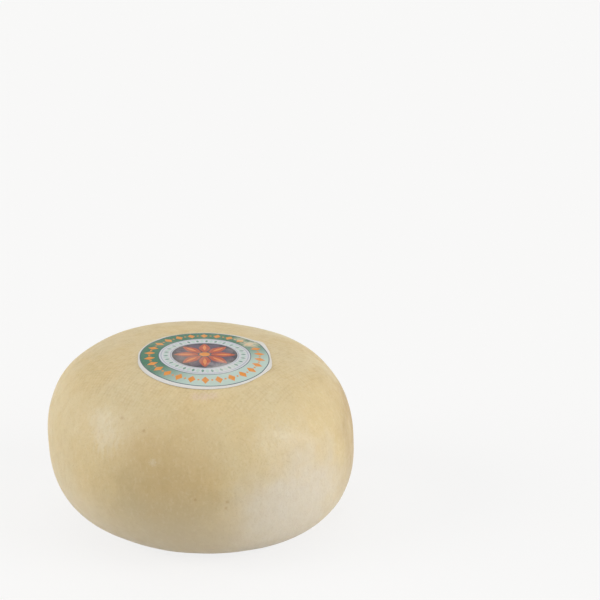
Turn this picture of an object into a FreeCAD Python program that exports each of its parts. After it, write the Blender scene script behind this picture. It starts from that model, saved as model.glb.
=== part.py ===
import FreeCAD, Part
import math
import os

# A whole pecorino: a hand-made wheel of hard sheep's cheese, with a round
# paper label lying on its crown.  The wheel stands on its flat base.
# Millimetres, +Z up.  The origin is on the floor under the middle of the
# wheel's bounding box, and the label lies towards the front, which is -Y.

# The wheel.  Its profile is two quarters of a superellipse that meet at the
# belly, the level where the wheel is widest.  A power of 2 gives an ellipse,
# and a higher power gives a squarer, fuller curve.
DIAMETER = 200.0            # across the belly
BELLY_HEIGHT = 52.3         # from the base up to the belly
CROWN_RISE = 63.8           # from the belly up to the top of the crown
FLATTENED = 8.2             # how much of the rounded heel the base cuts away
CROWN_ACROSS_POWER = 3.35
CROWN_UP_POWER = 2.40
HEEL_ACROSS_POWER = 2.85
HEEL_DOWN_POWER = 2.75

# How the wheel settled while it was soft.
LEAN = -0.058               # sideways shift along X for each unit of height
TILT_DEG = 1.5              # how far the +X side sank

# The paper label, which follows the crown.
LABEL_RADIUS = 42.8
LABEL_OVALITY = 0.8         # how much the radius grows and shrinks round the outline
LABEL_LONG_AXIS_DEG = 45.0  # direction of the longer diameter, from +X towards +Y
LABEL_CENTRE_X = 4.5        # from the wheel's own axis
LABEL_CENTRE_Y = -22.8
PAPER_THICKNESS = 0.2

# How finely the curves are laid out.
PROFILE_STEPS = 18          # along each quarter of the profile
OUTLINE_STEPS = 24          # round the label

PARTS_FOLDER = "parts"


def superellipse_quarter(across, along, across_power, along_power):
    """Points (distance from the axis, distance from the belly), axis to rim."""
    points = []
    for step in range(PROFILE_STEPS):
        angle = 0.5 * math.pi * step / PROFILE_STEPS
        radius = across * math.sin(angle) ** (2.0 / across_power)
        height = along * math.cos(angle) ** (2.0 / along_power)
        points.append((radius, height))
    points.append((across, 0.0))
    return points


def wheel_profile():
    """Points (radius, height) down the profile, with the belly at height 0."""
    belly_radius = 0.5 * DIAMETER
    heel_depth = BELLY_HEIGHT + FLATTENED
    crown = superellipse_quarter(belly_radius, CROWN_RISE, CROWN_ACROSS_POWER, CROWN_UP_POWER)
    heel = superellipse_quarter(belly_radius, heel_depth, HEEL_ACROSS_POWER, HEEL_DOWN_POWER)
    below_belly = [(radius, -height) for radius, height in reversed(heel[:-1])]
    return crown + below_belly


def turned_blank(rise=0.0):
    """The wheel before it settled: its profile turned about Z and lifted by rise."""
    points = [FreeCAD.Vector(radius, 0.0, height + rise) for radius, height in wheel_profile()]
    outward = FreeCAD.Vector(1.0, 0.0, 0.0)
    curve = Part.BSplineCurve()
    curve.interpolate(Points=points, InitialTangent=outward, FinalTangent=-outward)
    axis = Part.LineSegment(points[-1], points[0])
    face = Part.Face(Part.Wire([curve.toShape(), axis.toShape()]))
    return face.revolve(FreeCAD.Vector(0.0, 0.0, 0.0), FreeCAD.Vector(0.0, 0.0, 1.0), 360.0)


def label_column():
    """A column with the label's outline, from inside the blank to above it."""
    points = []
    for step in range(OUTLINE_STEPS):
        angle = 2.0 * math.pi * step / OUTLINE_STEPS
        from_long_axis = angle - math.radians(LABEL_LONG_AXIS_DEG)
        radius = LABEL_RADIUS + LABEL_OVALITY * math.cos(2.0 * from_long_axis)
        x = LABEL_CENTRE_X + radius * math.cos(angle)
        y = LABEL_CENTRE_Y + radius * math.sin(angle)
        points.append(FreeCAD.Vector(x, y, 0.0))
    outline = Part.BSplineCurve()
    outline.interpolate(Points=points, PeriodicFlag=True)
    face = Part.Face(Part.Wire([outline.toShape()]))
    return face.extrude(FreeCAD.Vector(0.0, 0.0, 2.0 * CROWN_RISE))


def settled(shape):
    """The shape leaned, tilted and lifted so that its base is at height 0."""
    lean = FreeCAD.Matrix()
    lean.A13 = LEAN
    tilt = FreeCAD.Matrix()
    tilt.rotateY(math.radians(TILT_DEG))
    lift = FreeCAD.Matrix()
    lift.move(FreeCAD.Vector(0.0, 0.0, BELLY_HEIGHT))
    return shape.transformGeometry(lift.multiply(tilt).multiply(lean))


def with_flat_base(shape):
    """The shape without what lies below height 0, where it rests."""
    width = 2.0 * DIAMETER
    corner = FreeCAD.Vector(-0.5 * width, -0.5 * width, -width)
    return shape.cut(Part.makeBox(width, width, width, corner))


def only_solid(shape):
    """The one solid that a shape holds."""
    if len(shape.Solids) != 1:
        raise ValueError("expected one solid, found %d" % len(shape.Solids))
    return shape.Solids[0]


def make_nodes():
    """Each node's name and solid, with the origin under the middle of the wheel."""
    blank = turned_blank()
    paper = turned_blank(PAPER_THICKNESS).common(label_column()).cut(blank)
    nodes = {
        "wheel": only_solid(with_flat_base(settled(blank))),
        "label": only_solid(settled(paper)),
    }
    middle = nodes["wheel"].optimalBoundingBox(False, False).Center
    for solid in nodes.values():
        solid.translate(FreeCAD.Vector(-middle.x, -middle.y, 0.0))
    return nodes


def main():
    """Write one STEP file for each node, and print what it holds."""
    os.makedirs(PARTS_FOLDER, exist_ok=True)
    for name, solid in make_nodes().items():
        solid.exportStep(os.path.join(PARTS_FOLDER, name + ".step"))
        box = solid.optimalBoundingBox(False, False)
        print(name, "valid:", solid.isValid(), "volume: %.1f mm3" % solid.Volume)
        print("  low  %.3f %.3f %.3f" % (box.XMin, box.YMin, box.ZMin))
        print("  high %.3f %.3f %.3f" % (box.XMax, box.YMax, box.ZMax))


main()
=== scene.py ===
import logging
import math
from dataclasses import dataclass, field
from enum import Enum

import bpy
import numpy as np
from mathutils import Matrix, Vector, noise
from mathutils.geometry import delaunay_2d_cdt


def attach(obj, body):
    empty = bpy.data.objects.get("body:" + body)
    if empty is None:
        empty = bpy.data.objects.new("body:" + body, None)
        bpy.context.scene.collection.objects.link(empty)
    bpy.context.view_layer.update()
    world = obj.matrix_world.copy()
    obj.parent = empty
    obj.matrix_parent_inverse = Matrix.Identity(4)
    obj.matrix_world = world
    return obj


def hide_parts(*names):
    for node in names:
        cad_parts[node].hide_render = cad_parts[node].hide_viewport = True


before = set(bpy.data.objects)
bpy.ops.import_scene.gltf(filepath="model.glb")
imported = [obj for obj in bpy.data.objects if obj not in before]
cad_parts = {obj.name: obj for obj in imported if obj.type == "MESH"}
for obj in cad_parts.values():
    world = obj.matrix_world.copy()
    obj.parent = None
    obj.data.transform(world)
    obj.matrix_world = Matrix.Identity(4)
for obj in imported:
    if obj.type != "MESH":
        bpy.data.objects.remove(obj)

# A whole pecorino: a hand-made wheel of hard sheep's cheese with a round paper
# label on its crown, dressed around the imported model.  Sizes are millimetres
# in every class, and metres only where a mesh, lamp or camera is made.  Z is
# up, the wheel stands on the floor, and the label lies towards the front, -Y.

LOG = logging.getLogger("pecorino")
MM = 0.001
FULL_TURN = 2.0 * math.pi

Tree = bpy.types.NodeTree
Socket = bpy.types.NodeSocket


class Node(Enum):
    """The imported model's nodes."""

    WHEEL = "wheel"
    LABEL = "label"


# ---------------------------------------------------------------- small tools


def linear_colour(hex_code: str) -> tuple[float, float, float, float]:
    """Turn an sRGB hex colour to the linear colour that shaders take.

    Args:
        hex_code: The colour as "#rrggbb".

    Returns:
        Red, green, blue and alpha, linear.
    """
    channels = [int(hex_code[start:start + 2], 16) / 255.0 for start in (1, 3, 5)]
    linear = [c / 12.92 if c <= 0.04045 else ((c + 0.055) / 1.055) ** 2.4 for c in channels]
    return (linear[0], linear[1], linear[2], 1.0)


def add_node(tree: Tree, kind: str, inputs: dict | None = None,
             **settings: object) -> bpy.types.Node:
    """Add a shader node with its settings and links.

    Args:
        tree: The node tree that the node joins.
        kind: The node's type name without its "ShaderNode".
        inputs: Input name or number, to a value or to the socket that feeds it.
        **settings: The node's own settings by name.

    Returns:
        The new node.
    """
    node = tree.nodes.new("ShaderNode" + kind)
    for name, value in settings.items():
        setattr(node, name, value)
    for key, value in (inputs or {}).items():
        if isinstance(value, Socket):
            tree.links.new(value, node.inputs[key])
        else:
            node.inputs[key].default_value = value
    return node


def blank_tree(owner: bpy.types.Material | bpy.types.World) -> Tree:
    """Turn nodes on for a material or world, and empty its node tree.

    Args:
        owner: The new material or world.

    Returns:
        Its empty node tree.
    """
    owner.use_nodes = True
    owner.node_tree.nodes.clear()
    return owner.node_tree


@dataclass(frozen=True)
class Skin:
    """A new material, its node tree, and the place on the object in millimetres."""

    material: bpy.types.Material
    tree: Tree
    place: Socket


def new_skin(name: str) -> Skin:
    """Make an empty node material.

    Args:
        name: The material's name.

    Returns:
        The material with what its layers are built on.
    """
    material = bpy.data.materials.new(name)
    tree = blank_tree(material)
    metres = add_node(tree, "TexCoord").outputs["Object"]
    place = add_node(tree, "VectorMath", {0: metres, "Scale": 1.0 / MM}, operation="SCALE")
    return Skin(material, tree, place.outputs[0])


def smooth_rise(value: np.ndarray, low: float, high: float) -> np.ndarray:
    """Rise smoothly from 0 at low to 1 at high."""
    share = np.clip((value - low) / (high - low), 0.0, 1.0)
    return share * share * (3.0 - 2.0 * share)


def noise_field(points: np.ndarray, size: float, seed: float) -> np.ndarray:
    """Sample a smooth noise of about -1 to 1.

    Args:
        points: Places, one row each.
        size: How far apart the noise's swells are, in the places' unit.
        seed: Where in the endless noise the sample is taken.

    Returns:
        One value for each place.
    """
    shift = Vector((seed, -0.7 * seed, 0.3 * seed))
    return np.array([noise.noise(Vector(point) / size + shift) for point in points])


def mesh_object(name: str, points: np.ndarray, faces: list, uv: np.ndarray | None) -> bpy.types.Object:
    """Make a smooth-shaded mesh object from points in millimetres.

    Args:
        name: The object's name.
        points: One row for each vertex.
        faces: Vertex numbers of each face.
        uv: The unwrapped place of each face corner, or None.

    Returns:
        The object, linked to the scene.
    """
    mesh = bpy.data.meshes.new(name)
    mesh.from_pydata((points * MM).tolist(), [], faces)
    mesh.polygons.foreach_set("use_smooth", [True] * len(mesh.polygons))
    if uv is not None:
        layer = mesh.uv_layers.new(name="OFBake")
        layer.uv.foreach_set("vector", uv.astype(np.float32).ravel())
    mesh.update()
    piece = bpy.data.objects.new(name, mesh)
    bpy.context.scene.collection.objects.link(piece)
    return piece


def ring_band(outer: np.ndarray, inner: np.ndarray) -> list:
    """Join two rings of vertices with faces.

    Args:
        outer: Vertex numbers of the outer or lower ring, counter-clockwise from above.
        inner: The inner or upper ring, with as many vertices or half as many.

    Returns:
        Faces that look up or outwards.
    """
    count = len(outer)
    faces = []
    if len(inner) == count:
        for i in range(count):
            j = (i + 1) % count
            faces.append((inner[i], outer[i], outer[j], inner[j]))
        return faces
    for i in range(len(inner)):
        j = (i + 1) % len(inner)
        first, middle, last = outer[2 * i], outer[2 * i + 1], outer[(2 * i + 2) % count]
        faces.append((inner[i], first, middle))
        faces.append((inner[i], middle, inner[j]))
        faces.append((inner[j], middle, last))
    return faces


# ------------------------------------------------------------------ the wheel


@dataclass(frozen=True)
class WheelForm:
    """The wheel's plain form: two quarters of a superellipse that meet at the belly.

    Heights are counted from the belly until the form is settled.
    """

    belly_radius: float = 100.0
    belly_height: float = 52.3
    crown_rise: float = 63.8
    flattened: float = 8.2
    crown_across_power: float = 3.35
    crown_up_power: float = 2.40
    heel_across_power: float = 2.85
    heel_down_power: float = 2.75
    lean: float = -0.058
    tilt_deg: float = 1.5
    profile_samples: int = 600

    def crown_height(self, distance: np.ndarray) -> np.ndarray:
        """Height of the crown above the belly at a distance from the axis."""
        share = np.clip(distance / self.belly_radius, 0.0, 1.0) ** self.crown_across_power
        return self.crown_rise * (1.0 - share) ** (1.0 / self.crown_up_power)

    def side_profile(self, start: float) -> tuple[np.ndarray, np.ndarray]:
        """Follow the profile from the crown down to the heel's lowest point.

        Args:
            start: Distance from the axis at which the profile starts on the crown.

        Returns:
            Distances from the axis, and heights.
        """
        angle = np.linspace(0.0, 0.5 * math.pi, self.profile_samples)
        across, down = np.sin(angle), np.cos(angle)
        upper = self.belly_radius * across ** (2.0 / self.crown_across_power)
        upper_height = self.crown_rise * down ** (2.0 / self.crown_up_power)
        kept = upper > start
        lower = self.belly_radius * across[::-1] ** (2.0 / self.heel_across_power)
        depth = self.belly_height + self.flattened
        lower_height = -depth * down[::-1] ** (2.0 / self.heel_down_power)
        top = self.crown_height(np.array([start]))
        distances = np.concatenate([[start], upper[kept], lower[1:]])
        heights = np.concatenate([top, upper_height[kept], lower_height[1:]])
        return distances, heights

    def outward(self, points: np.ndarray) -> np.ndarray:
        """Unit directions square to the form at points on it.

        Args:
            points: Places on the unsettled form, one row each.

        Returns:
            One direction for each place.
        """
        distance = np.maximum(np.hypot(points[:, 0], points[:, 1]), 1e-6)
        height = points[:, 2]
        above = height >= 0.0
        across_power = np.where(above, self.crown_across_power, self.heel_across_power)
        along_power = np.where(above, self.crown_up_power, self.heel_down_power)
        along = np.where(above, self.crown_rise, self.belly_height + self.flattened)
        radius = self.belly_radius
        across_slope = across_power * (distance / radius) ** (across_power - 1.0) / radius
        along_slope = along_power * (np.abs(height) / along) ** (along_power - 1.0) / along
        along_slope = along_slope * np.where(above, 1.0, -1.0)
        normal = np.stack([
            across_slope * points[:, 0] / distance,
            across_slope * points[:, 1] / distance,
            along_slope,
        ], axis=1)
        return normal / np.linalg.norm(normal, axis=1, keepdims=True)

    def settled(self, points: np.ndarray) -> np.ndarray:
        """Lean, tilt and lift points so that the base is at height 0.

        Args:
            points: Places on the unsettled form, one row each.

        Returns:
            The same places on the standing wheel.
        """
        tilt = math.radians(self.tilt_deg)
        x = points[:, 0] + self.lean * points[:, 2]
        across = x * math.cos(tilt) + points[:, 2] * math.sin(tilt)
        up = -x * math.sin(tilt) + points[:, 2] * math.cos(tilt) + self.belly_height
        return np.stack([across, points[:, 1], up], axis=1)

    def on_side(self, azimuth_deg: float, level: float) -> Vector:
        """Find a place on the standing wheel's side, below its shoulder.

        Args:
            azimuth_deg: Direction from the axis, from +X towards +Y.
            level: Height above the belly, unsettled.

        Returns:
            The place, in millimetres.
        """
        distances, heights = self.side_profile(0.5 * self.belly_radius)
        distance = np.interp(-level, -heights, distances)
        angle = math.radians(azimuth_deg)
        place = np.array([[distance * math.cos(angle), distance * math.sin(angle), level]])
        return Vector(self.settled(place)[0])

    def on_crown(self, x: float, y: float) -> Vector:
        """Find the place on the standing wheel's crown over a plan point."""
        height = self.crown_height(np.array([math.hypot(x, y)]))[0]
        return Vector(self.settled(np.array([[x, y, height]]))[0])


@dataclass(frozen=True)
class Bulge:
    """One broad place where the wheel stands out of, or under, its plain form."""

    x: float
    y: float
    level: float
    height: float
    reach: float

    def lift(self, points: np.ndarray) -> np.ndarray:
        """Height that the bulge adds at places on the form."""
        away = np.linalg.norm(points - [self.x, self.y, self.level], axis=1)
        return self.height * np.exp(-((away / self.reach) ** 2))


@dataclass(frozen=True)
class RindRelief:
    """How the rind departs from the plain form.

    The wheel was pressed and turned by hand, so it swells and sags a little
    all over.  The mould's woven lining printed its threads on the crown.
    """

    bulges: tuple = (
        Bulge(59.0, 31.0, 56.0, 1.0, 26.0),
        Bulge(-32.0, 46.0, 60.0, 0.7, 26.0),
        Bulge(-63.0, 27.0, 55.0, -0.9, 17.0),
        Bulge(-97.0, -23.0, -3.0, 0.5, 26.0),
        Bulge(-52.0, -68.0, -42.0, -0.6, 20.0),
        Bulge(56.0, -67.0, -40.0, 0.9, 32.0),
        Bulge(93.0, -33.0, -18.0, -0.6, 15.0),
    )

    sag_size: float = 62.0
    sag_depth: float = 0.55
    dimple_size: float = 15.0
    dimple_depth: float = 0.16
    thread_pitch: float = 2.3
    thread_depth: float = 0.19
    cross_thread_share: float = 0.6
    thread_turn_deg: float = -36.0
    thread_drift: float = 2.0
    thread_drift_size: float = 40.0
    thread_wander: float = 0.75
    thread_wander_size: float = 9.0
    knot_size: float = 3.4
    knot_mean: float = 0.85
    knot_swing: float = 2.1
    knot_most: float = 1.6
    wear_size: float = 13.0
    wear_mean: float = 0.68
    wear_swing: float = 0.75
    print_reach: float = 86.0
    print_fade: float = 9.0

    def swell(self, points: np.ndarray) -> np.ndarray:
        """Swell and dimple the form.

        Args:
            points: Places on the form, one row each.

        Returns:
            Heights, below 0 where the rind sags.
        """
        broad = self.sag_depth * noise_field(points, self.sag_size, 3.7)
        shallow = self.dimple_depth * noise_field(points, self.dimple_size, 9.1)
        return broad + shallow + sum(bulge.lift(points) for bulge in self.bulges)

    def threads(self, weave: np.ndarray, points: np.ndarray) -> np.ndarray:
        """Depth of the printed threads on the crown.

        Args:
            weave: Places counted along the two thread directions.
            points: The same places on the form.

        Returns:
            Heights, all 0 or less.
        """
        phase = np.cos(FULL_TURN * weave / self.thread_pitch)
        grooves = np.maximum(phase, 0.0) @ np.array([1.0, self.cross_thread_share])
        knots = self.knot_mean + self.knot_swing * noise_field(points, self.knot_size, 8.8)
        wear = self.wear_mean + self.wear_swing * noise_field(points, self.wear_size, 5.3)
        distance = np.hypot(points[:, 0], points[:, 1])
        fade = 1.0 - smooth_rise(distance, self.print_reach - self.print_fade, self.print_reach)
        sunk = -self.thread_depth * grooves * np.clip(knots, 0.0, self.knot_most)
        return sunk * np.clip(wear, 0.0, 1.0) * fade


@dataclass
class Wheel:
    """The cheese itself, one closed skin with its relief in the mesh."""

    form: WheelForm
    relief: RindRelief
    crown_radius: float = 86.0
    steps_per_thread: int = 3
    spare_lines: int = 4
    join_tolerance: float = 1e-7
    ring_count: int = 384
    side_rings: int = 64
    base_ring_spacing: float = 5.0
    fewest_in_ring: int = 12
    strip_height: float = 132.0
    crown_reach: float = 90.0
    base_reach: float = 70.0
    sheet_gap: float = 4.0
    points: list = field(default_factory=list)
    faces: list = field(default_factory=list)
    groove: np.ndarray | None = None

    def make(self) -> bpy.types.Object:
        """Build the wheel's mesh.

        Returns:
            The wheel's object.
        """
        crown, crown_faces = self.crown_patch()
        side = self.side_points()
        rim = np.arange(len(crown) - self.ring_count, len(crown))
        skin = np.concatenate([crown, side.reshape(-1, 3)])
        faces = list(crown_faces)
        ring = rim
        for step in range(self.side_rings):
            start = len(crown) + step * self.ring_count
            below = np.arange(start, start + self.ring_count)
            faces.extend(ring_band(below, ring))
            ring = below
        base, base_faces = self.base_points(skin[ring], len(skin), ring)
        faces.extend(base_faces)
        self.points = np.concatenate([skin, base])
        self.faces = [tuple(int(i) for i in face) for face in faces]
        uv = self.unwrapped(len(crown), len(skin))
        wheel = mesh_object("pecorino_wheel", self.points, self.faces, uv)
        worn = wheel.data.attributes.new("groove", "FLOAT", "POINT")
        depth = np.zeros(len(self.points), dtype=np.float32)
        depth[:len(crown)] = self.groove
        worn.data.foreach_set("value", depth)
        return wheel

    def crown_patch(self) -> tuple[np.ndarray, list]:
        """Lay the crown's points along the printed threads, and join them.

        Returns:
            The settled points, the last of them the crown's rim, and the faces.
        """
        relief = self.relief
        spacing = relief.thread_pitch / self.steps_per_thread
        reach = int(self.crown_radius / spacing) + self.spare_lines
        line = np.arange(-reach, reach + 1) * spacing
        weave = np.stack([axis.ravel() for axis in np.meshgrid(line, line)], axis=1)
        turn = math.radians(relief.thread_turn_deg)
        turned = np.array([[math.cos(turn), math.sin(turn)], [-math.sin(turn), math.cos(turn)]])
        plan = weave @ turned
        margin = 2.0 * relief.thread_drift
        near = np.hypot(plan[:, 0], plan[:, 1]) < self.crown_radius + margin
        weave, plan = weave[near], plan[near]
        flat = np.concatenate([plan, np.zeros((len(plan), 1))], axis=1)
        drift = [noise_field(flat, relief.thread_drift_size, seed) for seed in (1.9, 6.4)]
        wander = [noise_field(flat, relief.thread_wander_size, seed) for seed in (2.6, 7.2)]
        plan = plan + relief.thread_drift * np.stack(drift, axis=1)
        plan = plan + relief.thread_wander * np.stack(wander, axis=1)
        inside = np.hypot(plan[:, 0], plan[:, 1]) < self.crown_radius - spacing
        weave, plan = weave[inside], plan[inside]
        angle = FULL_TURN * np.arange(self.ring_count) / self.ring_count
        rim = self.crown_radius * np.stack([np.cos(angle), np.sin(angle)], axis=1)
        plan = np.concatenate([plan, rim])
        weave = np.concatenate([weave, np.zeros_like(rim)])
        height = self.form.crown_height(np.hypot(plan[:, 0], plan[:, 1]))
        points = np.concatenate([plan, height[:, None]], axis=1)
        sunk = relief.threads(weave, points)
        lift = relief.swell(points) + sunk
        lifted = points + self.form.outward(points) * lift[:, None]
        joined = delaunay_2d_cdt([Vector(place) for place in plan], [], [], 0, self.join_tolerance)
        self.groove = np.clip(-sunk / relief.thread_depth, 0.0, 1.0)
        return self.form.settled(lifted), joined[2]

    def side_points(self) -> np.ndarray:
        """Lay the side's points from under the crown's rim down to the base.

        Returns:
            Settled points, by ring and then round each ring.
        """
        form = self.form
        distances, heights = form.side_profile(self.crown_radius)
        run = np.concatenate([[0.0], np.cumsum(np.hypot(np.diff(distances), np.diff(heights)))])
        columns = []
        for i in range(self.ring_count):
            angle = FULL_TURN * i / self.ring_count
            turned = [distances * math.cos(angle), distances * math.sin(angle), heights]
            level = form.settled(np.stack(turned, axis=1))[:, 2]
            last = int(np.argmax(level < 0.0))
            share = level[last - 1] / (level[last - 1] - level[last])
            end = run[last - 1] + share * (run[last] - run[last - 1])
            at = end * np.arange(1, self.side_rings + 1) / self.side_rings
            distance, height = np.interp(at, run, distances), np.interp(at, run, heights)
            place = [distance * math.cos(angle), distance * math.sin(angle), height]
            columns.append(np.stack(place, axis=1))
        points = np.stack(columns, axis=1).reshape(-1, 3)
        lift = self.relief.swell(points)
        settled = form.settled(points + form.outward(points) * lift[:, None])
        rings = settled.reshape(self.side_rings, self.ring_count, 3)
        rings[-1, :, 2] = 0.0
        rings[:, :, 2] = np.maximum(rings[:, :, 2], 0.0)
        return rings

    def base_points(self, edge: np.ndarray, first: int, ring: np.ndarray) -> tuple[np.ndarray, list]:
        """Close the flat base inside the wheel's lowest ring.

        Args:
            edge: The lowest ring's points.
            first: Number that the first new vertex gets.
            ring: The lowest ring's vertex numbers.

        Returns:
            The new points, and the faces that look down.
        """
        middle = edge.mean(axis=0)
        reach = np.hypot(*(edge - middle)[:, :2].T).mean()
        steps = int(reach / self.base_ring_spacing)
        points, faces = [], []
        for step in range(1, steps):
            share = 1.0 - step / steps
            count = len(ring)
            crowded = FULL_TURN * reach * share / count < 0.5 * self.base_ring_spacing
            if crowded and count > self.fewest_in_ring:
                count //= 2
            around = edge[::len(edge) // count]
            points.append(middle + (around - middle) * share)
            inner = np.arange(first, first + count)
            faces.extend(ring_band(ring, inner))
            ring, first = inner, first + count
        points.append(middle[None, :])
        for i in range(len(ring)):
            faces.append((ring[i], ring[(i + 1) % len(ring)], first))
        return np.concatenate(points), [face[::-1] for face in faces]

    def unwrapped(self, crown_count: int, skin_count: int) -> np.ndarray:
        """Unwrap the skin on to one sheet: two strips of side, the crown and the base.

        Args:
            crown_count: How many of the points are the crown's.
            skin_count: How many are the crown's and the side's together.

        Returns:
            The place on the sheet of each face corner, from 0 to 1.
        """
        points, gap = self.points, self.sheet_gap
        half = self.ring_count // 2
        strip_width = 0.5 * FULL_TURN * self.form.belly_radius
        strip_step = self.strip_height + gap
        crown_at = [self.crown_reach + gap, 2.0 * strip_step + gap + self.crown_reach]
        base_at = [2.0 * (self.crown_reach + gap) + self.base_reach,
                   2.0 * strip_step + gap + self.base_reach]
        sheet = [2.0 * (self.crown_reach + self.base_reach) + 3.0 * gap,
                 2.0 * (strip_step + gap + self.crown_reach)]
        rows = (np.arange(len(points)) - crown_count) // self.ring_count + 1
        corners = []
        for face in self.faces:
            ids = np.array(face)
            if ids.max() < crown_count:
                flat = points[ids, :2] + crown_at
            elif ids.min() >= skin_count - self.ring_count:
                flat = points[ids, :2] + base_at
            else:
                rim = ids < crown_count
                first = np.where(rim, crown_count - self.ring_count, crown_count)
                column = (ids - first) % self.ring_count
                if column.max() - column.min() > half:
                    column = np.where(column < half, column + self.ring_count, column)
                upper_strip = column.min() >= half
                column = column - half if upper_strip else column
                row = np.where(rim, 0, rows[ids])
                across = gap + strip_width * column / half
                up = gap + self.strip_height * row / self.side_rings
                up = up + strip_step if upper_strip else up
                flat = np.stack([across, up], axis=1)
            corners.append(flat / sheet)
        return np.concatenate(corners)


# ----------------------------------------------------------- marks and colours


@dataclass(frozen=True)
class Mottle:
    """Cloudy variation of one size, as natural rinds have at many sizes."""

    size: float
    low: float
    high: float
    stretch: tuple[float, float, float] = (1.0, 1.0, 1.0)
    detail: float = 2.0
    seed: float = 0.0

    def mask(self, skin: Skin) -> Socket:
        """Build the mottle's mask.

        Args:
            skin: The material that it is for.

        Returns:
            A socket that goes from 0 to 1.
        """
        scale = tuple(1.0 / (self.size * along) for along in self.stretch)
        spot = {"Vector": skin.place, "Scale": scale, "Location": (self.seed,) * 3}
        moved = add_node(skin.tree, "Mapping", spot)
        noisy = {"Vector": moved.outputs[0], "Scale": 1.0, "Detail": self.detail}
        clouds = add_node(skin.tree, "TexNoise", noisy)
        spread = {"Value": clouds.outputs["Fac"], "From Min": self.low, "From Max": self.high}
        return add_node(skin.tree, "MapRange", spread, interpolation_type="SMOOTHSTEP").outputs[0]


@dataclass(frozen=True)
class Patch:
    """A soft-edged patch of another colour."""

    place: Vector
    radius: float
    colour: str
    strength: float
    raggedness: float = 0.5
    upright: float = 1.0
    tatter_size: float = 0.35
    core: float = 0.35

    def mask(self, skin: Skin) -> Socket:
        """Build the patch's mask, with a ragged edge.

        Args:
            skin: The material that it is for.

        Returns:
            A socket that is 1 in the patch's middle and 0 outside it.
        """
        away = add_node(skin.tree, "VectorMath", {0: skin.place, 1: self.place}, operation="DISTANCE")
        tatters = (1.0, 1.0, self.upright)
        tatter = self.tatter_size * self.radius
        edge = Mottle(tatter, 0.2, 0.8, tatters, detail=4.0, seed=self.radius)
        reach = {0: edge.mask(skin), 1: self.raggedness * self.radius, 2: away.outputs["Value"]}
        wandering = add_node(skin.tree, "Math", reach, operation="MULTIPLY_ADD")
        full = self.radius * (1.0 + self.raggedness)
        fall = {"Value": wandering.outputs[0], "From Min": full, "From Max": self.core * full}
        return add_node(skin.tree, "MapRange", fall, interpolation_type="SMOOTHSTEP").outputs[0]


@dataclass
class ColourCoat:
    """A colour that is built up from a ground and thin layers over it."""

    tree: Tree
    colour: Socket | tuple

    @classmethod
    def ground(cls, tree: Tree, hex_code: str) -> "ColourCoat":
        """Start from one even colour."""
        return cls(tree, linear_colour(hex_code))

    def lay(self, mask: Socket, hex_code: str, strength: float) -> None:
        """Lay another colour over what is there.

        Args:
            mask: Where the layer lies, from 0 to 1.
            hex_code: The layer's colour.
            strength: How much of it covers where the mask is 1.
        """
        cover = {0: mask, 1: strength}
        share = add_node(self.tree, "Math", cover, operation="MULTIPLY", use_clamp=True)
        sockets = {0: share.outputs[0], 6: self.colour, 7: linear_colour(hex_code)}
        self.colour = add_node(self.tree, "Mix", sockets, data_type="RGBA").outputs[2]


@dataclass(frozen=True)
class Layer:
    """A thin colour that lies wherever a mottle is."""

    mottle: Mottle
    colour: str
    strength: float

    def lay(self, skin: Skin, coat: ColourCoat) -> Socket:
        """Lay the colour, and give the mottle's mask back.

        Args:
            skin: The material that it is for.
            coat: The colours so far.

        Returns:
            The mottle's mask, from 0 to 1.
        """
        mask = self.mottle.mask(skin)
        coat.lay(mask, self.colour, self.strength)
        return mask


def raised(skin: Skin, steps: tuple) -> Socket:
    """Lay one fine relief over another.

    Args:
        skin: The material that it is for.
        steps: For each relief its mask, its height in millimetres, its
            strength, and whether it sinks.

    Returns:
        The surface's direction.
    """
    facing = None
    for mask, height, strength, sinks in steps:
        sockets = {"Height": mask, "Distance": height * MM, "Strength": strength}
        if facing is not None:
            sockets["Normal"] = facing
        facing = add_node(skin.tree, "Bump", sockets, invert=sinks).outputs[0]
    return facing


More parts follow.
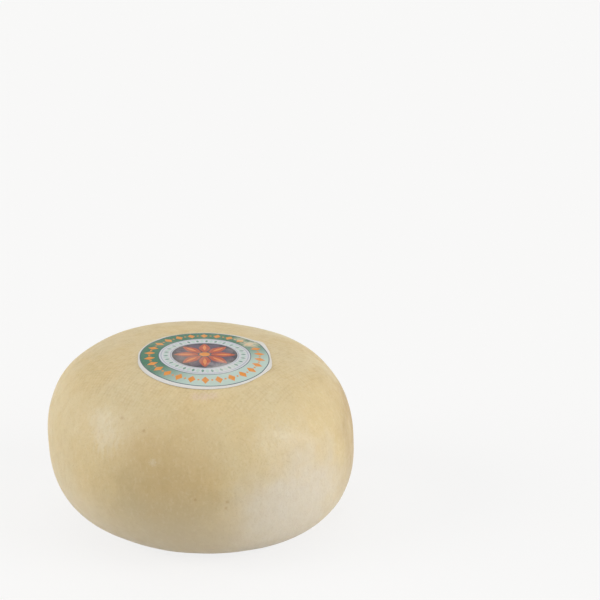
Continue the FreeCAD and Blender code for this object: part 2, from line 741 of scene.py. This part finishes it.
@dataclass(frozen=True)
class WaxedRind:
    """Washed, oiled and shelf-aged rind of hard sheep's cheese.

    Oil fills the pores, so the eye sees a satin, slightly translucent skin,
    straw yellow, cloudy at every size, with paler bloom where it was rubbed
    and a few brown nicks.  Towards the base it is painted paler and greyer,
    as painted light thrown up by the pale floor.
    """

    ground: str = "#dbc89d"
    clouds: tuple = (
        Layer(Mottle(58.0, 0.38, 0.64, seed=2.0), "#dbc390", 0.60),
        Layer(Mottle(34.0, 0.46, 0.70, detail=3.0, seed=7.0), "#dccfac", 0.28),
    )
    mottling: Layer = Layer(Mottle(6.5, 0.40, 0.70, detail=4.0, seed=4.0), "#b79b67", 0.08)
    # Faint upright streaks, as dried drips of brine leave.
    streaks: Layer = Layer(Mottle(3.4, 0.42, 0.72, (1.0, 1.0, 16.0), seed=5.0), "#b79b67", 0.06)
    # Pores are taken to be too fine to show, so the grain is drawn coarser, at
    # about a millimetre.  The size of the pale flecks is a guess.
    grain: Layer = Layer(Mottle(1.1, 0.48, 0.74, detail=3.0, seed=1.0), "#ad915f", 0.17)
    flecks: Layer = Layer(Mottle(1.8, 0.47, 0.82, (1.0, 1.0, 1.6), seed=8.0), "#efe4c6", 0.16)
    peel: Mottle = Mottle(2.6, 0.30, 0.70, seed=9.0)
    # Painted reflected light: the lower side is laid paler and greyer, for light thrown up by the pale
    # floor.
    painted_floor_bounce: str = "#d8cdb8"
    painted_bounce_cover: float = 0.54
    painted_bounce_top: float = 62.0
    painted_bounce_full_below: float = 12.0
    # Darker in the printed thread grooves.
    groove_darkening: str = "#b39560"
    groove_darkening_cover: float = 0.19
    roughness_low: float = 0.47
    roughness_high: float = 0.61
    ior: float = 1.46
    translucency: float = 0.12
    light_depth: float = 3.0
    # Fat and rind let red light travel farther than blue.
    light_spread: tuple[float, float, float] = (1.0, 0.62, 0.30)

    def material(self, patches: list, nicks: list) -> bpy.types.Material:
        """Build the rind's material.

        Args:
            patches: Patches of another colour, some of them painted highlights, reflection and shade.
            nicks: Small brown nicks, as patches of one colour.

        Returns:
            The material.
        """
        skin = new_skin("waxed_rind")
        coat = ColourCoat.ground(skin.tree, self.ground)
        for cloud in self.clouds:
            cloud.lay(skin, coat)
        # Stains and bloom, and painted highlights, reflection and shade.
        for patch in patches:
            coat.lay(patch.mask(skin), patch.colour, patch.strength)
        mottled = self.mottling.lay(skin, coat)
        self.streaks.lay(skin, coat)
        pores = self.grain.lay(skin, coat)
        self.flecks.lay(skin, coat)
        # Painted floor bounce: paler and greyer towards the base.
        coat.lay(self.painted_bounce_mask(skin), self.painted_floor_bounce, self.painted_bounce_cover)
        # Darker in the thread grooves.
        groove = add_node(skin.tree, "Attribute", attribute_name="groove").outputs["Fac"]
        coat.lay(groove, self.groove_darkening, self.groove_darkening_cover)
        sunk = self.nick_mask(skin, nicks)
        coat.lay(sunk, nicks[0].colour, nicks[0].strength)
        shine = {"Value": mottled, "To Min": self.roughness_low, "To Max": self.roughness_high}
        shader = add_node(skin.tree, "BsdfPrincipled", {
            "Base Color": coat.colour,
            "Roughness": add_node(skin.tree, "MapRange", shine).outputs[0],
            "IOR": self.ior,
            "Subsurface Weight": self.translucency,
            "Subsurface Radius": self.light_spread,
            "Subsurface Scale": self.light_depth * MM,
            "Normal": self.relief(skin, mottled, pores, sunk),
        })
        add_node(skin.tree, "OutputMaterial", {"Surface": shader.outputs[0]})
        return skin.material

    def painted_bounce_mask(self, skin: Skin) -> Socket:
        """Build the mask of the painted floor bounce, paler towards the wheel's base.

        Args:
            skin: The rind's material.

        Returns:
            A socket that is 1 near the base and 0 from the belly upwards.
        """
        level = add_node(skin.tree, "SeparateXYZ", {0: skin.place}).outputs["Z"]
        height = {"Value": level, "From Min": self.painted_bounce_top, "From Max": self.painted_bounce_full_below}
        return add_node(skin.tree, "MapRange", height, interpolation_type="SMOOTHSTEP").outputs[0]

    def nick_mask(self, skin: Skin, nicks: list) -> Socket:
        """Build the mask of the small nicks.

        Args:
            skin: The rind's material.
            nicks: The nicks, as patches.

        Returns:
            A socket that is 1 inside a nick.
        """
        mask = nicks[0].mask(skin)
        for nick in nicks[1:]:
            sockets = {0: mask, 1: nick.mask(skin)}
            mask = add_node(skin.tree, "Math", sockets, operation="MAXIMUM").outputs[0]
        return mask

    def relief(self, skin: Skin, mottled: Socket, pores: Socket, sunk: Socket) -> Socket:
        """Raise the mottling and the orange peel, and sink the pores and nicks.

        Args:
            skin: The rind's material.
            mottled: The mottling's mask.
            pores: The grain's mask.
            sunk: The nicks' mask.

        Returns:
            The surface's direction.
        """
        dimpled = self.peel.mask(skin)
        steps = ((mottled, 0.10, 0.6, False), (dimpled, 0.07, 1.0, False),
                 (pores, 0.05, 0.8, True), (sunk, 0.08, 1.0, True))
        return raised(skin, steps)


# ------------------------------------------------------------------ the label


@dataclass(frozen=True)
class EdgeLift:
    """A stretch of the label's edge that came unstuck, or was cut unevenly."""

    direction_deg: float
    width_deg: float
    height: float = 0.0
    reach: float = 10.0
    longer: float = 0.0


@dataclass
class Label:
    """The thin round paper label that lies on the crown."""

    form: WheelForm
    relief: RindRelief
    radius: float = 42.8
    ovality: float = 0.8
    long_axis_deg: float = 45.0
    centre_x: float = 4.5
    centre_y: float = -22.8
    paper: float = 0.2
    seat: float = 0.04
    cockle_size: float = 9.0
    cockle_height: float = 0.16
    cockled_within: float = 2.0
    flat_beyond: float = 26.0
    rings: int = 56
    # Below 1, so that the rings stand closer towards the cut edge.
    ring_power: float = 0.85
    spokes: int = 240
    sheet_span: float = 2.3
    upper_share: float = 0.8
    upper_at: tuple[float, float] = (0.42, 0.56)
    under_share: float = 0.2
    under_at: tuple[float, float] = (0.88, 0.12)
    rim_stretch: float = 1.02
    lifts: tuple = (
        EdgeLift(32.0, 8.0, height=1.1, reach=12.0, longer=1.1),
        EdgeLift(-19.0, 7.0, height=0.5, reach=7.0, longer=1.0),
        EdgeLift(-40.0, 10.0, longer=-0.2),
        EdgeLift(4.0, 9.0, longer=-0.9),
        EdgeLift(70.0, 11.0, longer=-0.6),
        EdgeLift(104.0, 10.0, longer=-0.4),
        EdgeLift(130.0, 9.0, longer=0.9),
        EdgeLift(-177.0, 10.0, longer=-0.8),
    )

    def outline(self, angle: np.ndarray) -> np.ndarray:
        """Follow the label's cut edge.

        Args:
            angle: Directions from the label's centre.

        Returns:
            The edge's distance from the centre in each direction.
        """
        reach = self.radius + self.ovality * np.cos(2.0 * (angle - math.radians(self.long_axis_deg)))
        for lift in self.lifts:
            reach = reach + lift.longer * self.share_of(lift, angle)
        return reach

    def share_of(self, lift: EdgeLift, angle: np.ndarray) -> np.ndarray:
        """How much of a lifted stretch each direction has, from 0 to 1."""
        turn = np.angle(np.exp(1j * (angle - math.radians(lift.direction_deg))))
        return np.exp(-((np.degrees(turn) / lift.width_deg) ** 2))

    def make(self) -> bpy.types.Object:
        """Build the label's mesh, a closed sheet of paper's thickness.

        Returns:
            The label's object.
        """
        angle = FULL_TURN * np.arange(self.spokes) / self.spokes
        share = (np.arange(1, self.rings + 1) / self.rings) ** self.ring_power
        reach = share[:, None] * self.outline(angle)[None, :]
        inward = (1.0 - share)[:, None] * self.outline(angle)[None, :]
        spoke = np.broadcast_to(angle, reach.shape)
        x = np.concatenate([[0.0], (reach * np.cos(spoke)).ravel()]) + self.centre_x
        y = np.concatenate([[0.0], (reach * np.sin(spoke)).ravel()]) + self.centre_y
        edge = np.concatenate([[self.radius], inward.ravel()])
        way = np.concatenate([[0.0], spoke.ravel()])
        height = self.form.crown_height(np.hypot(x, y))
        ground = np.stack([x, y, height], axis=1)
        outward = self.form.outward(ground)
        lift = self.relief.swell(ground) + self.seat + self.unstuck(ground, edge, way)
        under = self.form.settled(ground + outward * lift[:, None])
        upper = self.form.settled(ground + outward * (lift + self.paper)[:, None])
        sheet = self.sheet_faces()
        count = len(ground)
        faces = [tuple(face) for face in sheet]
        faces += [tuple(i + count for i in reversed(face)) for face in sheet]
        rim = np.arange(count - self.spokes, count)
        for i in range(self.spokes):
            j = (i + 1) % self.spokes
            faces.append((rim[j], rim[i], rim[i] + count, rim[j] + count))
        faces = [tuple(int(i) for i in face) for face in faces]
        points = np.concatenate([upper, under])
        return mesh_object("pecorino_label", points, faces, self.unwrapped(points, faces, count))

    def unstuck(self, ground: np.ndarray, edge: np.ndarray, way: np.ndarray) -> np.ndarray:
        """How far the paper stands off the rind.

        Args:
            ground: Places on the form under the paper.
            edge: Distance of each place from the cut edge.
            way: Direction of each place from the label's centre.

        Returns:
            Heights of 0 or more.
        """
        waves = np.clip(noise_field(ground, self.cockle_size, 12.5), 0.0, None)
        near_edge = 1.0 - smooth_rise(edge, self.cockled_within, self.flat_beyond)
        height = self.cockle_height * waves * near_edge
        for lift in self.lifts:
            rise = 1.0 - smooth_rise(edge, 0.0, lift.reach)
            height = height + lift.height * self.share_of(lift, way) * rise
        return height

    def sheet_faces(self) -> list:
        """Join the points of one side of the sheet.

        Returns:
            Its faces, looking up.
        """
        first = np.arange(1, self.spokes + 1)
        faces = [(0, first[i], first[(i + 1) % self.spokes]) for i in range(self.spokes)]
        for ring in range(self.rings - 1):
            inner = first + ring * self.spokes
            faces.extend(ring_band(inner + self.spokes, inner))
        return faces

    def unwrapped(self, points: np.ndarray, faces: list, count: int) -> np.ndarray:
        """Unwrap the upper side large and the under side small on one sheet.

        Args:
            points: The label's points, the upper side's first.
            faces: The label's faces.
            count: How many points each side has.

        Returns:
            The place on the sheet of each face corner, from 0 to 1.
        """
        middle = points[0, :2]
        span = self.sheet_span * self.radius
        corners = []
        for face in faces:
            ids = np.array(face)
            flat = (points[ids, :2] - middle) / span
            if ids.min() >= count:
                corners.append(flat * self.under_share + self.under_at)
            else:
                rim = np.where(ids >= count, self.rim_stretch, 1.0)[:, None]
                corners.append(flat * rim * self.upper_share + self.upper_at)
        return np.concatenate(corners)


class Ink(Enum):
    """The label's inks, and the bare paper."""

    PAPER = "#dedbd6"
    FIELD = "#cfd0d4"
    KEYLINE = "#34525c"
    GREEN = "#2f6b4e"
    MINT = "#b9cdc3"
    ORANGE = "#e08a24"
    LEAF = "#4f8c70"
    SLATE = "#2e2734"
    PLUM = "#4f3f52"
    TERRACOTTA = "#b34a24"
    APRICOT = "#dd8440"
    RULE = "#8f9aac"


@dataclass(frozen=True)
class PrintPlan:
    """Where a place lies on the print, measured from the print's middle."""

    tree: Tree
    flat: Socket
    distance: Socket
    direction: Socket
    ink_edge: float

    def inside(self, value: Socket, limit: float, unit: float = 1.0) -> Socket:
        """Build a mask that is 1 where a value is under a limit.

        Args:
            value: What is compared.
            limit: Where the ink ends.
            unit: How many millimetres one of the value's units is.

        Returns:
            A socket from 0 to 1.
        """
        half = 0.5 * self.ink_edge / unit
        sockets = {"Value": value, "From Min": limit + half, "From Max": limit - half}
        return add_node(self.tree, "MapRange", sockets).outputs[0]


@dataclass(frozen=True)
class Disc:
    """A round field of ink."""

    radius: float
    ink: Ink
    cover: float = 1.0

    def mask(self, plan: PrintPlan) -> Socket:
        """Build the disc's mask."""
        return plan.inside(plan.distance, self.radius)


@dataclass(frozen=True)
class FadingDisc:
    """A round field of ink that fades out across the label."""

    radius: float
    ink: Ink
    full_until: float
    gone_from: float
    way: tuple[float, float, float]
    cover: float = 1.0

    def mask(self, plan: PrintPlan) -> Socket:
        """Build the fading disc's mask.

        Args:
            plan: The print's measures.

        Returns:
            A socket that falls from 1 to 0 along the disc's way.
        """
        slope = {0: plan.flat, 1: self.way}
        along = add_node(plan.tree, "VectorMath", slope, operation="DOT_PRODUCT").outputs["Value"]
        fade = {"Value": along, "From Min": self.gone_from, "From Max": self.full_until}
        left = add_node(plan.tree, "MapRange", fade, interpolation_type="SMOOTHSTEP").outputs[0]
        both = {0: plan.inside(plan.distance, self.radius), 1: left}
        return add_node(plan.tree, "Math", both, operation="MULTIPLY").outputs[0]


@dataclass(frozen=True)
class Rule:
    """A fine printed circle."""

    radius: float
    half_width: float
    ink: Ink
    cover: float = 1.0

    def mask(self, plan: PrintPlan) -> Socket:
        """Build the circle's mask.

        Args:
            plan: The print's measures.

        Returns:
            A socket that is 1 on the line.
        """
        away = add_node(plan.tree, "Math", {0: plan.distance, 1: self.radius}, operation="SUBTRACT")
        size = add_node(plan.tree, "Math", {0: away.outputs[0]}, operation="ABSOLUTE")
        return plan.inside(size.outputs[0], self.half_width)


@dataclass(frozen=True)
class Wreath:
    """Equal shapes that stand round a circle.

    They are turned by a share of one step.  A power of 1 gives a lozenge, 2
    gives an ellipse, and one between them gives a petal or a leaf.
    """

    count: int
    turn: float
    radius: float
    half_across: float
    half_along: float
    power: float
    ink: Ink
    cover: float = 1.0

    def mask(self, plan: PrintPlan) -> Socket:
        """Build the wreath's mask.

        Args:
            plan: The print's measures.

        Returns:
            A socket that is 1 inside a shape.
        """
        tree, step = plan.tree, FULL_TURN / self.count
        counted = {0: plan.direction, 1: 1.0 / step, 2: self.turn}
        turned = add_node(tree, "Math", counted, operation="MULTIPLY_ADD").outputs[0]
        near = add_node(tree, "Math", {0: turned}, operation="ROUND").outputs[0]
        off = add_node(tree, "Math", {0: turned, 1: near}, operation="SUBTRACT").outputs[0]
        angle = add_node(tree, "Math", {0: off, 1: step}, operation="MULTIPLY").outputs[0]
        total = None
        ways = (("SINE", 0.0, self.half_across), ("COSINE", -self.radius, self.half_along))
        for wave_kind, offset, half in ways:
            wave = add_node(tree, "Math", {0: angle}, operation=wave_kind).outputs[0]
            length = {0: wave, 1: plan.distance, 2: offset}
            run = add_node(tree, "Math", length, operation="MULTIPLY_ADD").outputs[0]
            size = add_node(tree, "Math", {0: run}, operation="ABSOLUTE").outputs[0]
            part = add_node(tree, "Math", {0: size, 1: half}, operation="DIVIDE").outputs[0]
            share = add_node(tree, "Math", {0: part, 1: self.power}, operation="POWER").outputs[0]
            total = share if total is None else add_node(tree, "Math", {0: total, 1: share}).outputs[0]
        return plan.inside(total, 1.0, self.half_across)


@dataclass(frozen=True)
class PrintedPaper:
    """White label paper, coated and offset printed.

    The coating gives the eye an even, faintly glossy face with crisp flat
    inks.  The print is a plain ornament of rings, lozenges and petals, laid
    from the rim to the middle: the green ring with its lozenges, the pale
    band with its wreath of leaves, and the dark disc with its rosette.
    """

    motifs: tuple = (
        Disc(40.8, Ink.MINT),
        FadingDisc(40.8, Ink.GREEN, full_until=-6.0, gone_from=30.0, way=(0.55, -0.83, 0.0)),
        Wreath(26, 0.0, 35.0, 2.5, 3.6, 1.0, Ink.ORANGE),
        Wreath(26, 0.5, 35.0, 0.75, 0.75, 2.0, Ink.ORANGE),
        Rule(40.8, 0.3, Ink.KEYLINE),
        Disc(29.4, Ink.KEYLINE),
        Disc(28.9, Ink.FIELD),
        Rule(27.6, 0.22, Ink.RULE, cover=0.9),
        Rule(21.6, 0.22, Ink.RULE, cover=0.9),
        Wreath(26, 0.25, 24.6, 1.2, 2.2, 1.4, Ink.MINT),
        Wreath(26, 0.75, 24.6, 0.9, 1.7, 1.4, Ink.LEAF, cover=0.9),
        Disc(20.8, Ink.SLATE),
        Wreath(8, 0.5, 13.6, 4.2, 6.0, 2.0, Ink.PLUM),
        Wreath(8, 0.0, 11.2, 3.7, 8.2, 1.35, Ink.TERRACOTTA),
        Wreath(8, 0.0, 12.0, 1.2, 4.8, 1.35, Ink.APRICOT),
        Disc(4.2, Ink.KEYLINE),
        Disc(3.4, Ink.ORANGE),
    )
    # Soft clouds, as oil from the rind leaves in paper.
    damp: Layer = Layer(Mottle(15.0, 0.45, 0.75, detail=3.0, seed=3.0), "#cfc7ae", 0.16)
    # Single fibres are too fine to show, so they are drawn as coarse clumps.
    fibre: Layer = Layer(Mottle(0.9, 0.45, 0.8, seed=6.0), "#f2f2ee", 0.07)
    roughness: float = 0.48
    ior: float = 1.48
    damp_swell: float = 0.08
    fibre_tooth: float = 0.01
    relief_strength: float = 0.5
    ink_edge: float = 0.16
    print_shift: tuple[float, float] = (0.0, 0.7)

    def material(self, centre: Vector, worn: list) -> bpy.types.Material:
        """Build the label's material.

        Args:
            centre: Middle of the label, in millimetres.
            worn: Patches of painted glare and sheen on the print, and where oil came through.

        Returns:
            The material.
        """
        skin = new_skin("coated_label_paper")
        plan = self.plan(skin, centre)
        coat = ColourCoat.ground(skin.tree, Ink.PAPER.value)
        for motif in self.motifs:
            coat.lay(motif.mask(plan), motif.ink.value, motif.cover)
        damp = self.damp.lay(skin, coat)
        # Painted glare and sheen on the print, and oil come through the paper.
        for patch in worn:
            coat.lay(patch.mask(skin), patch.colour, patch.strength)
        fibre = self.fibre.lay(skin, coat)
        steps = ((damp, self.damp_swell, self.relief_strength, False),
                 (fibre, self.fibre_tooth, self.relief_strength, False))
        shader = add_node(skin.tree, "BsdfPrincipled", {
            "Base Color": coat.colour,
            "Roughness": self.roughness,
            "IOR": self.ior,
            "Normal": raised(skin, steps),
        })
        add_node(skin.tree, "OutputMaterial", {"Surface": shader.outputs[0]})
        return skin.material

    def plan(self, skin: Skin, centre: Vector) -> PrintPlan:
        """Measure where a place is on the print.

        Args:
            skin: The paper's material.
            centre: Middle of the label, in millimetres.

        Returns:
            The print's measures.
        """
        tree = skin.tree
        middle = Vector((centre.x + self.print_shift[0], centre.y + self.print_shift[1], 0.0))
        moved = add_node(tree, "VectorMath", {0: skin.place, 1: middle}, operation="SUBTRACT")
        split = add_node(tree, "SeparateXYZ", {0: moved.outputs[0]})
        x, y = split.outputs["X"], split.outputs["Y"]
        flat = add_node(tree, "CombineXYZ", {"X": x, "Y": y}).outputs[0]
        distance = add_node(tree, "VectorMath", {0: flat}, operation="LENGTH").outputs["Value"]
        direction = add_node(tree, "Math", {0: x, 1: y}, operation="ARCTAN2").outputs[0]
        return PrintPlan(tree, flat, distance, direction, self.ink_edge)


# ------------------------------------------------------------------- the room


def seen_rays(tree: Tree) -> Socket:
    """Tell the rays that show the room from the rays that light the wheel.

    Args:
        tree: The material's or world's node tree.

    Returns:
        A socket that is 1 for a camera, mirrored or transmitted ray.
    """
    ray = add_node(tree, "LightPath")
    shown = {0: ray.outputs["Is Camera Ray"], 1: ray.outputs["Is Glossy Ray"]}
    straight = add_node(tree, "Math", shown, operation="MAXIMUM")
    through = {0: straight.outputs[0], 1: ray.outputs["Is Transmission Ray"]}
    return add_node(tree, "Math", through, operation="MAXIMUM").outputs[0]


@dataclass(frozen=True)
class Lamp:
    """A wide, even lamp that is far away."""

    name: str
    azimuth_deg: float
    elevation_deg: float
    strength: float
    spread_deg: float

    def make(self) -> None:
        """Add the lamp, shining at the wheel from its azimuth and elevation."""
        data = bpy.data.lights.new(self.name, "SUN")
        data.energy = self.strength
        data.angle = math.radians(self.spread_deg)
        lamp = bpy.data.objects.new(self.name, data)
        azimuth, elevation = math.radians(self.azimuth_deg), math.radians(self.elevation_deg)
        back = Vector((
            math.cos(elevation) * math.cos(azimuth),
            math.cos(elevation) * math.sin(azimuth),
            math.sin(elevation),
        ))
        lamp.location = back
        lamp.rotation_euler = back.to_track_quat("Z", "Y").to_euler()
        bpy.context.scene.collection.objects.link(lamp)


@dataclass(frozen=True)
class PaleFloor:
    """A matt pale table top: it takes a soft shadow and throws light back up."""

    colour: str = "#e9e7e3"
    half_width: float = 20000.0
    drop: float = 0.05
    shown_white: float = 0.80

    def make(self) -> bpy.types.Object:
        """Add the floor under the wheel.

        Returns:
            The floor's object.
        """
        half = self.half_width
        corners = np.array([(-half, -half, -self.drop), (half, -half, -self.drop),
                            (half, half, -self.drop), (-half, half, -self.drop)])
        floor = mesh_object("floor", corners, [(0, 1, 2, 3)], None)
        material = bpy.data.materials.new("matt_table_top")
        tree = blank_tree(material)
        matt = add_node(tree, "BsdfDiffuse", {"Color": linear_colour(self.colour)})
        glow = add_node(tree, "Emission", {"Color": (1.0, 1.0, 1.0, 1.0), "Strength": 1.0})
        seen = add_node(tree, "Math", {0: seen_rays(tree), 1: self.shown_white}, operation="MULTIPLY")
        shown = add_node(tree, "MixShader", {0: seen.outputs[0], 1: matt.outputs[0], 2: glow.outputs[0]})
        add_node(tree, "OutputMaterial", {"Surface": shown.outputs[0]})
        floor.data.materials.append(material)
        return floor


@dataclass(frozen=True)
class Studio:
    """Plain soft studio light round the wheel, and the camera."""

    lamps: tuple = (
        Lamp("right_softbox", -19.0, 18.0, 1.84, 40.0),
        Lamp("left_softbox", -171.0, 23.0, 1.50, 40.0),
        Lamp("overhead_softbox", 90.0, 75.0, 0.64, 60.0),
    )
    surround: float = 0.32
    wall: str = "#f8f8f7"
    lens: float = 90.0
    camera_distance: float = 995.8
    camera_elevation_deg: float = 22.48
    target_height: float = 55.0
    aim_right: float = 66.87
    aim_up: float = 85.06

    def make(self) -> None:
        """Add the floor, the lamps, the surround and the camera."""
        PaleFloor().make()
        for lamp in self.lamps:
            lamp.make()
        self.make_surround()
        self.make_camera()

    def make_surround(self) -> None:
        """Light the wheel evenly from all round, and show white behind it."""
        world = bpy.data.worlds.new("studio")
        bpy.context.scene.world = world
        tree = blank_tree(world)
        strength = {"Value": seen_rays(tree), "To Min": self.surround, "To Max": 1.0}
        level = add_node(tree, "MapRange", strength)
        shine = {"Color": linear_colour(self.wall), "Strength": level.outputs[0]}
        light = add_node(tree, "Background", shine)
        add_node(tree, "OutputWorld", {"Surface": light.outputs[0]})

    def make_camera(self) -> None:
        """Add the camera, with the wheel left of and below the view's middle."""
        elevation = math.radians(self.camera_elevation_deg)
        target = Vector((0.0, 0.0, self.target_height))
        back = Vector((0.0, -math.cos(elevation), math.sin(elevation)))
        up = Vector((0.0, math.sin(elevation), math.cos(elevation)))
        place = target + back * self.camera_distance
        aim = target + Vector((1.0, 0.0, 0.0)) * self.aim_right + up * self.aim_up
        data = bpy.data.cameras.new("camera")
        data.lens = self.lens
        data.clip_start = 0.05
        data.clip_end = 100.0
        camera = bpy.data.objects.new("camera", data)
        camera.location = place * MM
        camera.rotation_euler = (aim - place).to_track_quat("-Z", "Y").to_euler()
        bpy.context.scene.collection.objects.link(camera)
        bpy.context.scene.camera = camera


# ------------------------------------------------------------------- assembly


def rind_marks_and_painted_light(form: WheelForm) -> list:
    """Where the rind was rubbed pale, bloomed or stained, and where highlights, reflection and shade are
    painted on it.

    Args:
        form: The wheel's form.

    Returns:
        The patches.
    """
    return [
        # Pale, greyer patches low on the front right: partly bloom, partly painted reflection of the
        # pale floor.
        Patch(form.on_side(-55.5, -19.0), 49.0, "#ded6c8", 0.80, raggedness=0.4),
        Patch(form.on_side(-68.0, -34.0), 34.0, "#ddd5c6", 0.35, raggedness=0.4),
        # Painted highlight: the left lamp's satin reflection, laid as ragged pale flecks.
        Patch(form.on_side(-131.5, 38.0), 7.0, "#e8dec6", 0.36, raggedness=1.5, upright=2.5),
        Patch(form.on_side(-127.5, 29.0), 7.5, "#e8dec6", 0.36, raggedness=1.5, upright=2.5),
        # Painted highlight: the right lamp's reflection, laid as ragged pale flecks.
        Patch(form.on_side(-64.0, 32.0), 8.0, "#e6dcc2", 0.20, raggedness=1.5, upright=2.0),
        Patch(form.on_side(-58.5, 32.5), 5.5, "#e8dec6", 0.24, raggedness=1.5, upright=2.0),
        # Painted shade: darker patches on the front, which faces away from both side lamps.
        Patch(form.on_side(-105.0, -20.0), 46.0, "#bca87b", 0.68),
        Patch(form.on_side(-101.0, 20.0), 38.0, "#cfb27c", 0.55, raggedness=0.3),
        # Painted shade: a brown patch round the right side, for the neighbouring wedge's shade on the
        # right edge.
        Patch(form.on_side(5.0, 1.0), 60.0, "#ab8d5c", 0.74, raggedness=0.4),
        Patch(form.on_side(-107.3, 21.0), 2.2, "#e3dac4", 0.36, raggedness=1.2),
        Patch(form.on_side(128.0, 6.0), 40.0, "#cbb27c", 0.50),
        Patch(form.on_side(76.0, -16.0), 30.0, "#ddd4c4", 0.45),
        Patch(form.on_crown(64.0, 44.0), 26.0, "#ebdfba", 0.45),
        Patch(form.on_crown(82.0, 2.0), 16.0, "#ebdfba", 0.38, raggedness=0.9),
        Patch(form.on_crown(-2.0, -71.0), 3.0, "#e0c6b4", 0.50, raggedness=0.8),
        Patch(form.on_crown(3.5, -71.0), 3.4, "#e0c6b4", 0.55, raggedness=0.8),
        Patch(form.on_crown(9.0, -70.0), 3.0, "#e0c6b4", 0.50, raggedness=0.8),
    ]


def rind_nicks(form: WheelForm) -> list:
    """Small brown nicks in the rind.

    Args:
        form: The wheel's form.

    Returns:
        The nicks, as patches.
    """
    chosen = ((-122.3, 41.6, 1.2), (-111.8, 37.4, 0.9), (-93.0, -0.7, 0.9), (-82.1, -2.5, 1.0),
              (-82.6, -6.5, 0.9), (40.0, 8.0, 1.1), (96.0, 30.0, 1.0), (118.0, -12.0, 1.2))
    nicks = []
    for azimuth, level, radius in chosen:
        nicks.append(Patch(form.on_side(azimuth, level), radius, "#a5763f", 0.34, raggedness=1.2))
    return nicks


def label_glare_and_oil(form: WheelForm, label: Label) -> list:
    """Where glare and sheen are painted on the label, and where oil came through the paper.

    Args:
        form: The wheel's form.
        label: The label.

    Returns:
        The patches.
    """
    # The first three are painted highlights: glare that washes the print out at the upper right, and
    # sheen at the lower right. The last is oil come through the paper.
    chosen = ((36.0, 36.5, 6.0, "#d9cdae", 0.85), (52.0, 38.0, 4.5, "#dccfae", 0.60),
              (-60.0, 22.0, 9.0, "#e4e2dc", 0.35), (200.0, 12.0, 12.0, "#d8cbb0", 0.16))
    patches = []
    for direction, distance, radius, colour, strength in chosen:
        angle = math.radians(direction)
        x = label.centre_x + distance * math.cos(angle)
        y = label.centre_y + distance * math.sin(angle)
        patches.append(Patch(form.on_crown(x, y), radius, colour, strength, raggedness=0.7))
    return patches


def dress(piece: bpy.types.Object, node: Node, material: bpy.types.Material) -> None:
    """Give a piece its material and its place in the frame.

    Args:
        piece: The finished piece.
        node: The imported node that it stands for.
        material: The finish.
    """
    piece.data.materials.append(material)
    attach(piece, "root")
    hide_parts(node.value)
    LOG.info("%s: %d faces", piece.name, len(piece.data.polygons))


def main() -> None:
    """Build the wheel, its label and the room round them."""
    logging.basicConfig(level=logging.INFO, format="%(name)s: %(message)s")
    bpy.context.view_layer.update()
    studio = Studio()
    studio.make()
    form, relief = WheelForm(), RindRelief()
    wheel = Wheel(form, relief).make()
    dress(wheel, Node.WHEEL, WaxedRind().material(rind_marks_and_painted_light(form), rind_nicks(form)))
    label = Label(form, relief)
    sheet = label.make()
    centre = form.on_crown(label.centre_x, label.centre_y)
    dress(sheet, Node.LABEL, PrintedPaper().material(centre, label_glare_and_oil(form, label)))
    bpy.context.scene.view_settings.view_transform = "Standard"
    bpy.context.view_layer.update()


if __name__ == "__main__":
    main()
